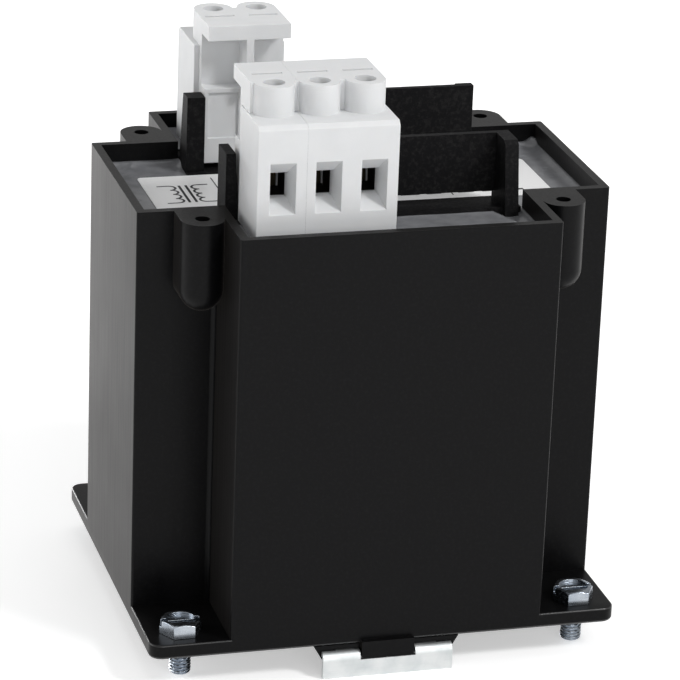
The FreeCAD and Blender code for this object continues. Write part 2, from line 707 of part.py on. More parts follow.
# Four hexagon screws in the corners of the base: crowned, dished and slotted heads, chamfered tips
def make_screws():
    screws = []
    for index, (side_x, side_y) in enumerate(FOUR):
        x = f"{side_x}*screw_x"
        y = f"{side_y}*screw_y"
        hexagon = doc.addObject("Part::Prism", f"screw_hexagon_{index}")
        hexagon.Polygon = 6
        bind(hexagon, Circumradius="head_flats/1.7320508", Height="head_tall")
        place(hexagon, x, y, "screw_z")
        crown = doc.addObject("Part::Cone", f"screw_crown_{index}")
        bind(crown, Radius1="head_crown + 1.7320508*head_tall", Radius2="head_crown", Height="head_tall")
        place(crown, x, y, "screw_z")
        head = doc.addObject("Part::MultiCommon", f"screw_head_{index}")
        head.Shapes = [hexagon, crown]
        neck = rod(f"screw_neck_{index}", x, y, "-neck_below - 1", "neck_radius", "screw_z + neck_below + 2")
        shank = rod(f"screw_shank_{index}", x, y, "screw_z + tip_edge - screw_long", "thread_radius", "screw_long - screw_z - tip_edge - neck_below")
        tip = doc.addObject("Part::Cone", f"screw_tip_{index}")
        bind(tip, Radius1="thread_radius - tip_edge", Radius2="thread_radius", Height="tip_edge")
        place(tip, x, y, "screw_z - screw_long")
        dish = rod(f"screw_dish_{index}", x, y, "screw_z + head_tall - head_dish_deep", "head_dish", "3")
        drive = block(f"screw_drive_{index}", f"{x} - head_flats", f"{y} - head_slot/2", "screw_z + head_tall - 1.5", "2*head_flats", "head_slot", "3")
        screws.append(cut(f"screw_{index}", fuse(f"screw_blank_{index}", [head, neck, shank, tip]), [dish, drive]))
    group("mounting_screws", screws)


# Sheet steel latch: a flat strip with a window, bent down in front as a pull tab
def make_latch():
    body = doc.addObject("PartDesign::Body", "latch_strip")
    top = "strip_z + strip_thick"
    out = "pad_face + bend_radius"
    section = [
        ("-(nose_in)", "strip_z"),
        (f"-({out}) + strip_thick", "strip_z"),
        (f"-({out}) + strip_thick", "-lip_drop"),
        (f"-({out})", "-lip_drop"),
        (f"-({out})", top),
        ("-(nose_in)", top),
    ]
    strip = pad(body, outline(body, "YZ_Plane", section), "2*lip_half")
    doc.recompute()
    far = body.Shape.BoundBox.YMin
    high = body.Shape.BoundBox.ZMax
    outer = [f"Edge{i}" for i, edge in enumerate(body.Shape.Edges, start=1)
             if edge.BoundBox.YMax < far + 0.01 and edge.BoundBox.ZMin > high - 0.01]
    bend = body.newObject("PartDesign::Fillet", "latch_bend")
    bend.Base = (strip, outer)
    bend.setExpression("Radius", refer("bend_radius"))
    ear_in = "nose_in + 16"
    ear_out = "nose_in + 16 + ear_long"
    tall = "pad_tall"
    window_z = f"{top} - bend_radius"
    gaps = [facing("latch_window", -1, "-gap_half", "nose_in + 14.3", f"{out} + 1", window_z, "2*gap_half", tall)]
    for index, side_x in enumerate((-1, 1)):
        x = f"{side_x}*(neck_half + lip_half) - lip_half"
        gaps.append(facing(f"latch_neck_{index}", -1, x, ear_out, "pad_face + strip_fit", window_z, "2*lip_half", tall))
        gaps.append(facing(f"latch_tail_{index}", -1, x, "nose_in - 1", ear_in, window_z, "2*lip_half", tall))
        x = f"{side_x}*(ear_half + lip_half) - lip_half"
        gaps.append(facing(f"latch_ear_{index}", -1, x, "nose_in - 1", "pad_face + strip_fit", window_z, "2*lip_half", tall))
    tongue = facing("latch_tongue", -1, "-0.4", "nose_in + 14", "nose_in + 16", "strip_z", "0.8", "strip_thick")
    fuse("rail_latch", [cut("latch_plate", body, gaps), tongue])


# Compression spring between the latch and the peg of the front pad
def make_spring():
    long = "stop_out - (nose_in + 14.3) - 1"
    helix = doc.addObject("Part::Helix", "spring_path")
    bind(helix, Pitch="spring_pitch", Radius="spring_radius", Height=long)
    wire = doc.addObject("Part::Circle", "spring_section")
    bind(wire, Radius="spring_wire")
    wire.Placement = FreeCAD.Placement(Vector(0, 0, 0), Rotation(Vector(1, 0, 0), 90))
    place(wire, "spring_radius", "0", "0")
    coil = doc.addObject("Part::Sweep", "latch_spring")
    coil.Sections = [wire]
    coil.Spine = (helix, ["Edge1"])
    coil.Solid = True
    coil.Frenet = True
    coil.Placement = FreeCAD.Placement(Vector(0, 0, 0), Rotation(Vector(1, 0, 0), 90))
    place(coil, "0", "-(nose_in + 14.8)", "strip_z + strip_thick/2")


make_housing()
make_core()
make_former()
make_coil()
make_carrier("front_carrier", "front", -1, 3, "front_fin_foot")
make_carrier("back_carrier", "back", 1, 2, "back_fin_out")
SEAM = "front_row_left + pitch"
FRONT_END = "front_row_left + 3*pitch + end_plate"
BACK_END = "back_row_left + 2*pitch + end_plate"
make_terminal("front_terminal_single", -1, "front_row_left", 1, "front_row_left - side_plate", SEAM,
              "front_row_left - neck_plate", SEAM)
make_terminal("front_terminal_double", -1, SEAM, 2, SEAM, FRONT_END,
              SEAM, "front_row_left + 2*pitch + tower_side + tower_radius")
make_terminal("back_terminal_double", 1, "back_row_left", 2, "back_row_left - side_plate", BACK_END,
              "back_row_left + tower_side - tower_radius", "back_row_left + pitch + tower_side + tower_radius")
make_clamps("front", -1, "front_row_left", 3)
make_clamps("back", 1, "back_row_left", 2)
SUNK = [
    "core_rest_0", "core_rest_1", "core_e_stack", "core_i_stack", "winding_former", "primary_winding",
    "winding_insulation", "secondary_winding", "outer_wrap", "front_carrier", "back_carrier",
    "front_contact_bars", "back_contact_bars", "front_lead_wires", "back_lead_wires",
]
make_resin([doc.getObject(name) for name in SUNK])
make_screws()
make_latch()
make_spring()
doc.recompute()

NODES = [
    "housing", "core_e_stack", "core_i_stack", "winding_former", "primary_winding", "winding_insulation",
    "secondary_winding", "outer_wrap", "potting_resin", "rating_label", "front_carrier", "back_carrier",
    "front_terminal_single", "front_terminal_double", "back_terminal_double",
    "front_clamp_cages", "back_clamp_cages", "front_clamp_screws", "back_clamp_screws",
    "front_contact_bars", "back_contact_bars", "front_lead_wires", "back_lead_wires",
    "mounting_screws", "rail_latch", "latch_spring",
]

for item in doc.Objects:
    if "Invalid" in item.State or "Error" in item.State:
        raise RuntimeError(f"{item.Name} did not rebuild: {item.State}")
os.makedirs("parts", exist_ok=True)
for name in NODES:
    item = doc.getObject(name)
    item.Label = name
    if item.Shape.isNull() or not item.Shape.isValid() or not item.Shape.Solids:
        raise RuntimeError(f"{name} has no sound solid")
for name in NODES:
    item = doc.getObject(name)
    item.Shape.exportStep(f"parts/{name}.step")
    box = item.Shape.BoundBox
    print(f"{name}: {len(item.Shape.Solids)} solids, {item.Shape.Volume:.1f} mm3,"
          f" x {box.XMin:.2f}..{box.XMax:.2f}, y {box.YMin:.2f}..{box.YMax:.2f}, z {box.ZMin:.2f}..{box.ZMax:.2f}")
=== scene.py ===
import math
import bmesh
import bpy
import numpy as np
from mathutils import Matrix, Vector


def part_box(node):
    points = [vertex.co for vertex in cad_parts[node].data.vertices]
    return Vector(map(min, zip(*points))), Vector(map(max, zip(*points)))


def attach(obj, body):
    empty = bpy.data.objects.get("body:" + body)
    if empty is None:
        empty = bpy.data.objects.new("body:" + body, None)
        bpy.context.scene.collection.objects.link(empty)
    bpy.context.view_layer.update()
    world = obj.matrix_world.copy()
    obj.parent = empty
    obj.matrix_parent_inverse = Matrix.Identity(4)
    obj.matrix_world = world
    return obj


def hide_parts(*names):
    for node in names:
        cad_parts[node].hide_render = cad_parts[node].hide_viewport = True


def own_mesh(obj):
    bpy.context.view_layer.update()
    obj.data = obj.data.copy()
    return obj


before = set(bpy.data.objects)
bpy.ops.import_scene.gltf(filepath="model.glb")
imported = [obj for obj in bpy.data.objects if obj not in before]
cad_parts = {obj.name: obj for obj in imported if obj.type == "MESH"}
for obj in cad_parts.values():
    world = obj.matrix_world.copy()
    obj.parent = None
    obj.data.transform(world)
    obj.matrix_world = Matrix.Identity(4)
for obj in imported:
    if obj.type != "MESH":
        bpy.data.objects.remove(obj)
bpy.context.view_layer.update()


# Lamination stacks: an E stack and the I stack that closes it, of 0.5 mm silicon steel sheet.
# Each sheet is punched and coated, so the stack's sides show fine lines across its depth.
# Both stacks are sunk in the resin.
MM = 0.001
SHEET_THICK_MM = 0.5
SHEET_STEP_MM = 0.05
SHEET_COLOUR = "5b5c60"
SHEET_GAP_COLOUR = "2c2c2f"
WAVE_PERIOD = math.pi / 10  # the length of one band of a wave texture whose scale is one


def linear(hex_colour):
    """An sRGB colour such as "1c1c1e" as the renderer's linear values."""
    parts = [int(hex_colour[i:i + 2], 16) / 255 for i in (0, 2, 4)]
    return tuple(c / 12.92 if c <= 0.04045 else ((c + 0.055) / 1.055) ** 2.4 for c in parts) + (1.0,)


def finish_of(name, colour, roughness, metallic=0.0, specular=0.5):
    """A new material with its shader's plain values set: the material, its node tree and its shader."""
    material = bpy.data.materials.new(name)
    material.use_nodes = True
    tree = material.node_tree
    shader = tree.nodes["Principled BSDF"]
    shader.inputs["Base Color"].default_value = linear(colour)
    shader.inputs["Roughness"].default_value = roughness
    shader.inputs["Metallic"].default_value = metallic
    shader.inputs["Specular IOR Level"].default_value = specular
    return material, tree, shader


def add_node(tree, kind, settings=None, sockets=()):
    """Adds one shader node.
    sockets pairs an input's name or number with a value, or with another node's output to link."""
    made = tree.nodes.new(kind)
    for key, value in (settings or {}).items():
        setattr(made, key, value)
    for key, value in sockets:
        if isinstance(value, bpy.types.NodeSocket):
            tree.links.new(value, made.inputs[key])
        else:
            made.inputs[key].default_value = value
    return made


def colour_between(tree, factor, first, second):
    """The output of a mix between two sRGB colours."""
    sockets = [(0, factor), (6, linear(first)), (7, linear(second))]
    return add_node(tree, "ShaderNodeMix", {"data_type": "RGBA"}, sockets).outputs[2]


def dress(nodes, material):
    """Gives CAD nodes one material."""
    for item in nodes:
        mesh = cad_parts[item].data
        mesh.materials.clear()
        mesh.materials.append(material)


def lamination_steel():
    """Punched silicon steel: dull grey metal with a dark line between sheets."""
    material, tree, shader = finish_of("silicon steel sheet", SHEET_COLOUR, roughness=0.45, metallic=1.0)
    place = add_node(tree, "ShaderNodeTexCoord").outputs["Object"]
    lines = add_node(tree, "ShaderNodeTexWave", {"bands_direction": "Y"},
                     [("Vector", place), ("Scale", WAVE_PERIOD / (SHEET_THICK_MM * MM))])
    edge = add_node(tree, "ShaderNodeMapRange", None,
                    [("Value", lines.outputs["Fac"]), ("From Min", 0.0), ("From Max", 0.25)])
    steel = colour_between(tree, edge.outputs["Result"], SHEET_GAP_COLOUR, SHEET_COLOUR)
    tree.links.new(steel, shader.inputs["Base Color"])
    bump = add_node(tree, "ShaderNodeBump", None,
                    [("Strength", 0.3), ("Distance", SHEET_STEP_MM * MM), ("Height", edge.outputs["Result"])])
    tree.links.new(bump.outputs["Normal"], shader.inputs["Normal"])
    return material


dress(["core_e_stack", "core_i_stack"], lamination_steel())


# Winding former: a tube with two wide cheeks, moulded in black glass-filled polyamide.
# It slides over the centre leg, and its upper cheek carries both terminal carriers.
# The real flecks, grain and draw marks are finer: they are drawn as coarse as they need to show.
GRAIN_MM = 0.45
GRAIN_DEEP_MM = 0.08
FLECK_MM = 0.8
FLOW_MM = 14.0
STREAK_MM = 0.7
STREAK_SQUEEZE = 0.02
STREAK_SHARE = 0.75
SHEEN_SWING = 0.045
BLACK = "070708"
BLACK_FLECK = "121213"
FORMER_BLACK = "141415"
FORMER_FLECK = "2c2b2b"


def black_polyamide(name, roughness, specular, grain, colour=BLACK, fleck_colour=BLACK_FLECK):
    """Black glass-filled polyamide, injection moulded: satin black with fibre flecks and a fine grain.
    Its gloss wavers in slow clouds, and in faint upright marks from where it was drawn off the mould."""
    material, tree, shader = finish_of(name, colour, roughness, specular=specular)
    place = add_node(tree, "ShaderNodeTexCoord").outputs["Object"]
    fleck = add_node(tree, "ShaderNodeTexNoise", None,
                     [("Vector", place), ("Scale", 1 / (FLECK_MM * MM)),
                      ("Detail", 4.0), ("Roughness", 0.65)])
    few = add_node(tree, "ShaderNodeMapRange", None,
                   [("Value", fleck.outputs["Fac"]), ("From Min", 0.48), ("From Max", 0.78)])
    flecked = colour_between(tree, few.outputs["Result"], colour, fleck_colour)
    tree.links.new(flecked, shader.inputs["Base Color"])
    cloud = add_node(tree, "ShaderNodeTexNoise", None,
                     [("Vector", place), ("Scale", 1 / (FLOW_MM * MM)), ("Detail", 3.0)])
    drawn = add_node(tree, "ShaderNodeMapping", None,
                     [("Vector", place), ("Scale", (1.0, 1.0, STREAK_SQUEEZE))])
    streak = add_node(tree, "ShaderNodeTexNoise", None,
                      [("Vector", drawn.outputs["Vector"]), ("Scale", 1 / (STREAK_MM * MM)), ("Detail", 3.0)])
    both = add_node(tree, "ShaderNodeMix", {"data_type": "FLOAT"},
                    [(0, STREAK_SHARE), (2, cloud.outputs["Fac"]), (3, streak.outputs["Fac"])])
    sheen = add_node(tree, "ShaderNodeMapRange", None,
                     [("Value", both.outputs[0]), ("From Min", 0.3), ("From Max", 0.7),
                      ("To Min", roughness - SHEEN_SWING), ("To Max", roughness + SHEEN_SWING)])
    tree.links.new(sheen.outputs["Result"], shader.inputs["Roughness"])
    fine = add_node(tree, "ShaderNodeTexNoise", None,
                    [("Vector", place), ("Scale", 1 / (GRAIN_MM * MM)), ("Detail", 3.0)])
    bump = add_node(tree, "ShaderNodeBump", None,
                    [("Strength", grain), ("Distance", GRAIN_DEEP_MM * MM), ("Height", fine.outputs["Fac"])])
    tree.links.new(bump.outputs["Normal"], shader.inputs["Normal"])
    return material


carrier_black = black_polyamide("black polyamide of the former", roughness=0.55, specular=0.06, grain=0.2,
                                colour=FORMER_BLACK, fleck_colour=FORMER_FLECK)
dress(["winding_former"], carrier_black)


# Coil: the primary of enamelled copper wire on the former, insulating film over it, the
# secondary of thicker wire, and a last wrap of film. The wires lie in even turns along the leg.
PRIMARY_WIRE_MM = 0.9
SECONDARY_WIRE_MM = 1.6
COPPER = "b87333"
# painted shade between the coil's turns, and the stain colour of the bare lead wires
COPPER_SHADE_AND_STAIN = "6e3d1c"
FILM_YELLOW = "cdbb78"
FILM_SHADE = "bba868"
WRINKLE_MM = 6.25
WRINKLE_DEEP_MM = 0.3


def copper_wire(name, wire_mm):
    """Enamelled copper wire: warm metal under clear enamel, ribbed once a turn along Z, with painted shade
    darkening the groove between turns.
    """
    material, tree, shader = finish_of(name, COPPER, roughness=0.3, metallic=1.0)
    shader.inputs["Coat Weight"].default_value = 0.6
    shader.inputs["Coat Roughness"].default_value = 0.15
    place = add_node(tree, "ShaderNodeTexCoord").outputs["Object"]
    turns = add_node(tree, "ShaderNodeTexWave", {"bands_direction": "Z"},
                     [("Vector", place), ("Scale", WAVE_PERIOD / (wire_mm * MM))])
    shaded_turns = colour_between(tree, turns.outputs["Fac"], COPPER_SHADE_AND_STAIN, COPPER)
    tree.links.new(shaded_turns, shader.inputs["Base Color"])
    bump = add_node(tree, "ShaderNodeBump", None,
                    [("Strength", 0.6), ("Distance", wire_mm * MM / 3), ("Height", turns.outputs["Fac"])])
    tree.links.new(bump.outputs["Normal"], shader.inputs["Normal"])
    return material


def insulating_film():
    """Yellow polyester film: smooth and a little cloudy, with soft wrinkles."""
    material, tree, shader = finish_of("polyester film", FILM_YELLOW, roughness=0.3)
    place = add_node(tree, "ShaderNodeTexCoord").outputs["Object"]
    soft = add_node(tree, "ShaderNodeTexNoise", None,
                    [("Vector", place), ("Scale", 1 / (WRINKLE_MM * MM)), ("Detail", 2.0)])
    clouded = colour_between(tree, soft.outputs["Fac"], FILM_SHADE, FILM_YELLOW)
    tree.links.new(clouded, shader.inputs["Base Color"])
    bump = add_node(tree, "ShaderNodeBump", None,
                    [("Strength", 0.2), ("Distance", WRINKLE_DEEP_MM * MM), ("Height", soft.outputs["Fac"])])
    tree.links.new(bump.outputs["Normal"], shader.inputs["Normal"])
    return material


dress(["primary_winding"], copper_wire("primary wire", PRIMARY_WIRE_MM))
dress(["secondary_winding"], copper_wire("secondary wire", SECONDARY_WIRE_MM))
dress(["winding_insulation", "outer_wrap"], insulating_film())


# Housing: a cross-shaped pot with a base plate, four screw bosses and the rail pads, moulded in one
# piece of black glass-filled polyamide. The tool leaves a small, smoother radius on every edge, and a
# fillet in each corner between the long walls and the bays.
HOUSING_EDGE_MM = 0.22
BASE_TOP_MM = 3.7
EDGE_SLOPE = (0.15, 0.97)  # how far a rounded edge's faces may point up or down, where one is straight up
CORNERS = ((-1, -1), (1, -1), (1, 1), (-1, 1))
BAY_WALL_MM = 36.85  # the outer faces of the bays in X and of the long walls in Y
LONG_WALL_MM = 25.45
FILLET_MM = 1.1
FILLET_STEPS = 8
FILLET_SUNK_MM = 0.3
FILLET_FOOT_MM = 3.5
FILLET_BELOW_RIM_MM = 15.0
SMOOTH_ANGLE = math.radians(32)
FLAT_ANGLE = math.radians(0.4)
SAME_PLACE_MM = 0.002
SHEEN_TINT = "fff6ee"


def piece_from(name, points_mm, faces, material, body):
    """A mesh object at the origin from points in millimetres and faces, riding on a CAD body."""
    mesh = bpy.data.meshes.new(name)
    mesh.from_pydata((np.asarray(points_mm) * MM).tolist(), [], [list(face) for face in faces])
    mesh.materials.append(material)
    mesh.validate()
    piece = bpy.data.objects.new(name, mesh)
    bpy.context.collection.objects.link(piece)
    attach(piece, body)
    return piece


def softened(node, name, edge_mm, material, body="transformer", above_mm=None):
    """A copy of a CAD node's mesh with its doubles merged, its flat faces joined and its edges rounded.
    Above a height, where one is given, it keeps only the points that are higher."""
    form = bmesh.new()
    form.from_mesh(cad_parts[node].data)
    bmesh.ops.remove_doubles(form, verts=form.verts[:], dist=SAME_PLACE_MM * MM)
    if above_mm is not None:
        low = [v for v in form.verts if v.co.z < above_mm * MM]
        bmesh.ops.delete(form, geom=low, context="VERTS")
    bmesh.ops.dissolve_limit(form, angle_limit=FLAT_ANGLE, verts=form.verts[:], edges=form.edges[:])
    form.verts.index_update()
    points = np.array([v.co[:] for v in form.verts]) / MM
    faces = [[v.index for v in face.verts] for face in form.faces]
    form.free()
    piece = piece_from(name, points, faces, material, body)
    piece.data.shade_smooth()
    piece.data.set_sharp_from_angle(angle=SMOOTH_ANGLE)
    bevel = piece.modifiers.new("moulded edges", "BEVEL")
    bevel.width = edge_mm * MM
    bevel.segments = 2
    bevel.limit_method = "ANGLE"
    bevel.angle_limit = SMOOTH_ANGLE
    bevel.use_clamp_overlap = True
    bevel.harden_normals = True
    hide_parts(node)
    return piece


def polish_edges(piece, material, low_mm, high_mm):
    """Gives the bevelled edges a second material, and with them the sloping faces between two heights,
    which are the base plate's own rounded edges."""
    flattest, steepest = EDGE_SLOPE
    piece.data.materials.append(material)
    piece.modifiers["moulded edges"].material = 1
    for face in piece.data.polygons:
        if low_mm < face.center.z / MM < high_mm and flattest < abs(face.normal.z) < steepest:
            face.material_index = 1


def tube_faces(rings, sides):
    """The faces of a closed tube whose points run ring by ring: quads between rings, a cap at each end."""
    step = np.arange(sides)
    after = (step + 1) % sides
    first = np.arange(rings - 1)[:, None] * sides
    wall = np.stack([first + step, first + after, first + sides + after, first + sides + step], axis=-1)
    return wall.reshape(-1, 4).tolist() + [step[::-1].tolist(), (step + (rings - 1) * sides).tolist()]


def corner_fillets(name, material):
    """Four upright concave fillets, one in each corner of the cross.
    Each is a prism: its section is the corner and a quarter circle about a centre one radius out of
    both walls."""
    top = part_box("housing")[1].z / MM - FILLET_BELOW_RIM_MM
    turn = np.linspace(0, math.pi / 2, FILLET_STEPS)
    along = np.append(FILLET_MM * (1 - np.sin(turn)), -FILLET_SUNK_MM)
    out = np.append(FILLET_MM * (1 - np.cos(turn)), -FILLET_SUNK_MM)
    count = len(along)
    points = []
    faces = []
    for side_x, side_y in CORNERS:
        first = len(points)
        x = side_x * (BAY_WALL_MM + along)
        y = side_y * (LONG_WALL_MM + out)
        for z in (FILLET_FOOT_MM, top):
            points.extend(np.column_stack([x, y, np.full(count, z)]))
        order = side_x * side_y
        faces.extend([first + i for i in face][::order] for face in tube_faces(2, count))
    piece = piece_from(name, points, faces, material, "transformer")
    piece.data.shade_smooth()
    piece.data.set_sharp_from_angle(angle=SMOOTH_ANGLE)


# The fibres in the pot's skin scatter a little warm light at low angles. Its edges are smoother than its
# walls, so each draws a thin line of light.
housing_black = black_polyamide("black polyamide of the housing", roughness=0.36, specular=0.11, grain=0.1)
housing_shader = housing_black.node_tree.nodes["Principled BSDF"]
housing_shader.inputs["Sheen Weight"].default_value = 0.12
housing_shader.inputs["Sheen Roughness"].default_value = 0.25
housing_shader.inputs["Sheen Tint"].default_value = linear(SHEEN_TINT)
edge_black = black_polyamide("polished edges of the housing", roughness=0.3, specular=0.6, grain=0.05)
shell = softened("housing", "housing_shell", HOUSING_EDGE_MM, housing_black)
polish_edges(shell, edge_black, 0.0, BASE_TOP_MM)
corner_fillets("housing_corner_fillets", housing_black)


# Casting resin: dark grey polyurethane poured into the pot up to the core's top and left to set.
# It is glossy and almost level, climbs a little at every wall, and holds a few burst bubbles.
# A thin film of it lies on the carriers' ledges.
RESIN = "606164"
RESIN_CLOUD = "8c8d90"
RESIN_CLOUD_MM = 3.846
RESIN_WAVE_MM = 2.381
RESIN_WAVE_DEEP_MM = 0.2
RESIN_TOP_MM = 93.8
LONG_INSIDE_MM = (53.2, 23.45)  # half the length and depth inside the long walls, and inside the bays
BAY_INSIDE_MM = (34.85, 45.25)
LEDGE_X_MM = (-34.65, 24.75, 33.25)  # a ledge's left end, and its slanted right end near and far
LEDGE_Y_MM = (23.05, 44.65)
LEDGE_TOP_MM = 95.65
LEDGE_BARE_MM = 4.6
LABEL_COVERS_MM = (45.5, -11.0, 13.0)  # half a length, a front and a back, all just within the label
GRID_MM = 0.45
SKIN_LIFT_MM = 0.03
SKIN_THICK_MM = 0.6
CLIMB_MM = 1.15
CLIMB_REACH_MM = 1.0
RIPPLE_MM = 0.03
POOL_RIPPLE = (3.1, 1.3, 4.7, 3.7)  # along, sway, sway_along and across of ripples()
FILM_RIPPLE = (2.3, 1.1, 1.9, 1.7)
DRAWN_UP_MM = [  # x, y, height and radius of a hill
    (52.4, 22.9, 1.5, 1.3),
    (-34.6, 21.6, 1.0, 1.3),
    (-46.0, 22.4, 0.5, 0.7),
]
BUBBLES = 26
BUBBLE_SEED = 7
BUBBLE_BAND_MM = 6.0
BUBBLE_MARGIN_MM = 1.0
BUBBLE_RADIUS_MM = (0.35, 0.9)
BUBBLE_RIM_TALL = 0.22  # a bubble's measures as shares of its radius, and its pit as a share of the rim
BUBBLE_RIM_OUT = 1.1
BUBBLE_RIM_WIDE = 0.35
BUBBLE_PIT = 1.4
PIT_MOST_MM = 0.3
FILM_THICK_MM = 0.12
FILM_BEAD_MM = 0.18
FILM_BEAD_REACH_MM = 0.7
FILM_GRID = (60, 130)


def casting_resin():
    """Cast polyurethane: smooth dark grey, a little cloudy where the filler settled."""
    material, tree, shader = finish_of("dark grey casting resin", RESIN, roughness=0.22)
    place = add_node(tree, "ShaderNodeTexCoord").outputs["Object"]
    cloud = add_node(tree, "ShaderNodeTexNoise", None,
                     [("Vector", place), ("Scale", 1 / (RESIN_CLOUD_MM * MM)), ("Detail", 5.0)])
    clouded = colour_between(tree, cloud.outputs["Fac"], RESIN, RESIN_CLOUD)
    tree.links.new(clouded, shader.inputs["Base Color"])
    fine = add_node(tree, "ShaderNodeTexNoise", None,
                    [("Vector", place), ("Scale", 1 / (RESIN_WAVE_MM * MM)), ("Detail", 3.0)])
    bump = add_node(tree, "ShaderNodeBump", None,
                    [("Strength", 0.15), ("Distance", RESIN_WAVE_DEEP_MM * MM),
                     ("Height", fine.outputs["Fac"])])
    tree.links.new(bump.outputs["Normal"], shader.inputs["Normal"])
    return material


def distance_to(outline, x, y):
    """The distance from each point to the nearest side of a closed outline."""
    best = np.full(x.shape, np.inf)
    for (ax, ay), (bx, by) in zip(outline, np.roll(outline, -1, axis=0)):
        long = (bx - ax) ** 2 + (by - ay) ** 2
        part = np.clip(((x - ax) * (bx - ax) + (y - ay) * (by - ay)) / long, 0, 1)
        best = np.minimum(best, np.hypot(x - ax - part * (bx - ax), y - ay - part * (by - ay)))
    return best


def spread(*stops):
    """Grid lines that fall on every stop and lie about one grid step apart between them."""
    parts = [np.linspace(a, b, max(2, round((b - a) / GRID_MM) + 1)) for a, b in zip(stops, stops[1:])]
    return np.unique(np.round(np.concatenate(parts), 5))


def ripples(x, y, along, sway, sway_along, across):
    """Slow ripples: a sine along X, whose phase sways with a sine of Y, times a cosine of Y."""
    return RIPPLE_MM * np.sin(x / along + sway * np.sin(y / sway_along)) * np.cos(y / across)


def grid_faces(rows, columns):
    """The quads of a grid whose points run row by row."""
    corner = (np.arange(rows - 1)[:, None] * columns + np.arange(columns - 1)).ravel()
    return np.column_stack([corner, corner + columns, corner + columns + 1, corner + 1])


def poured(name, points, faces, thick_mm, material):
    """A smooth sheet of resin. Its thickness is laid on behind its faces."""
    piece = piece_from(name, points, faces, material, "transformer")
    piece.data.shade_smooth()
    depth = piece.modifiers.new("depth", "SOLIDIFY")
    depth.thickness = thick_mm * MM
    depth.offset = -1.0


def resin_skin(name, material):
    """The resin's free surface over a cross-shaped grid, left open under the label.
    Height is the level, plus a rise that fades away from every wall, plus slow ripples and a few
    low hills where the pour was drawn up, less round pits with a raised rim."""
    long_x, long_y = LONG_INSIDE_MM
    bay_x, bay_y = BAY_INSIDE_MM
    x_lines = spread(-long_x, -bay_x, bay_x, long_x)
    y_lines = spread(-bay_y, -long_y, long_y, bay_y)
    x, y = np.meshgrid(x_lines, y_lines, indexing="ij")
    cross = [(-long_x, -long_y), (-bay_x, -long_y), (-bay_x, -bay_y)]
    cross += [(bay_x, -bay_y), (bay_x, -long_y), (long_x, -long_y)]
    cross += [(-a, -b) for a, b in cross]
    left, right_in, right_out = LEDGE_X_MM
    inner, outer = LEDGE_Y_MM
    ledge = np.array([(left, inner), (right_in, inner), (right_out, outer), (left, outer)])
    walls = [np.array(cross), ledge * (1, -1), ledge]
    near = np.minimum.reduce([distance_to(wall, x, y) for wall in walls])
    z = RESIN_TOP_MM + SKIN_LIFT_MM + CLIMB_MM * np.exp(-near / CLIMB_REACH_MM) + ripples(x, y, *POOL_RIPPLE)
    for hill_x, hill_y, tall, wide in DRAWN_UP_MM:
        z += tall * np.exp(-((x - hill_x) ** 2 + (y - hill_y) ** 2) / wide ** 2)
    dice = np.random.default_rng(BUBBLE_SEED)
    for _ in range(BUBBLES):
        side = dice.choice([-1, 1])
        bubble_x = side * dice.uniform(long_x - BUBBLE_BAND_MM, long_x - BUBBLE_MARGIN_MM)
        bubble_y = dice.uniform(-long_y + BUBBLE_MARGIN_MM, long_y - BUBBLE_MARGIN_MM)
        radius = dice.uniform(*BUBBLE_RADIUS_MM)
        off = np.hypot(x - bubble_x, y - bubble_y) / radius
        rim = np.exp(-((off - BUBBLE_RIM_OUT) / BUBBLE_RIM_WIDE) ** 2)
        z += BUBBLE_RIM_TALL * radius * (rim - BUBBLE_PIT * np.exp(-off ** 2))
    z = np.maximum(z, RESIN_TOP_MM - PIT_MOST_MM)
    points = np.column_stack([x.ravel(), y.ravel(), z.ravel()])
    faces = grid_faces(*x.shape)
    middle_x, middle_y, _ = points[faces].mean(axis=1).T
    inside = (np.abs(middle_x) < bay_x) | (np.abs(middle_y) < long_y)
    cover_x, cover_front, cover_back = LABEL_COVERS_MM
    hidden = (np.abs(middle_x) < cover_x) & (middle_y > cover_front) & (middle_y < cover_back)
    used, faces = np.unique(faces[inside & ~hidden], return_inverse=True)
    poured(name, points[used], faces.reshape(-1, 4), SKIN_THICK_MM, material)


def ledge_skin(name, material, side):
    """The thin resin film over the outer part of a carrier's ledge, a four-sided grid from the ledge's
    straight end to its slanted one. The grid is the film's underside, and its thickness is laid on above.
    Height is the ledge's top plus a bead that fades away from the edges, plus slow ripples."""
    left, right_in, right_out = LEDGE_X_MM
    inner, outer = LEDGE_Y_MM
    near = inner + LEDGE_BARE_MM
    right_in += (right_out - right_in) * LEDGE_BARE_MM / (outer - inner)
    rows, columns = FILM_GRID
    across, along = np.meshgrid(np.linspace(0, 1, rows), np.linspace(0, 1, columns), indexing="ij")
    y = near + (outer - near) * across
    x = left + (right_in + (right_out - right_in) * across - left) * along
    outline = np.array([(left, near), (right_in, near), (right_out, outer), (left, outer)])
    z = LEDGE_TOP_MM + FILM_BEAD_MM * np.exp(-distance_to(outline, x, y) / FILM_BEAD_REACH_MM)
    z += ripples(x, y, *FILM_RIPPLE)
    points = np.column_stack([x.ravel(), (side * y).ravel(), z.ravel()])
    poured(name, points, grid_faces(rows, columns)[:, ::side], FILM_THICK_MM, material)


resin_grey = casting_resin()
dress(["potting_resin"], resin_grey)
resin_skin("resin_surface", resin_grey)
ledge_skin("resin_over_front_ledge", resin_grey, -1)
ledge_skin("resin_over_back_ledge", resin_grey, 1)


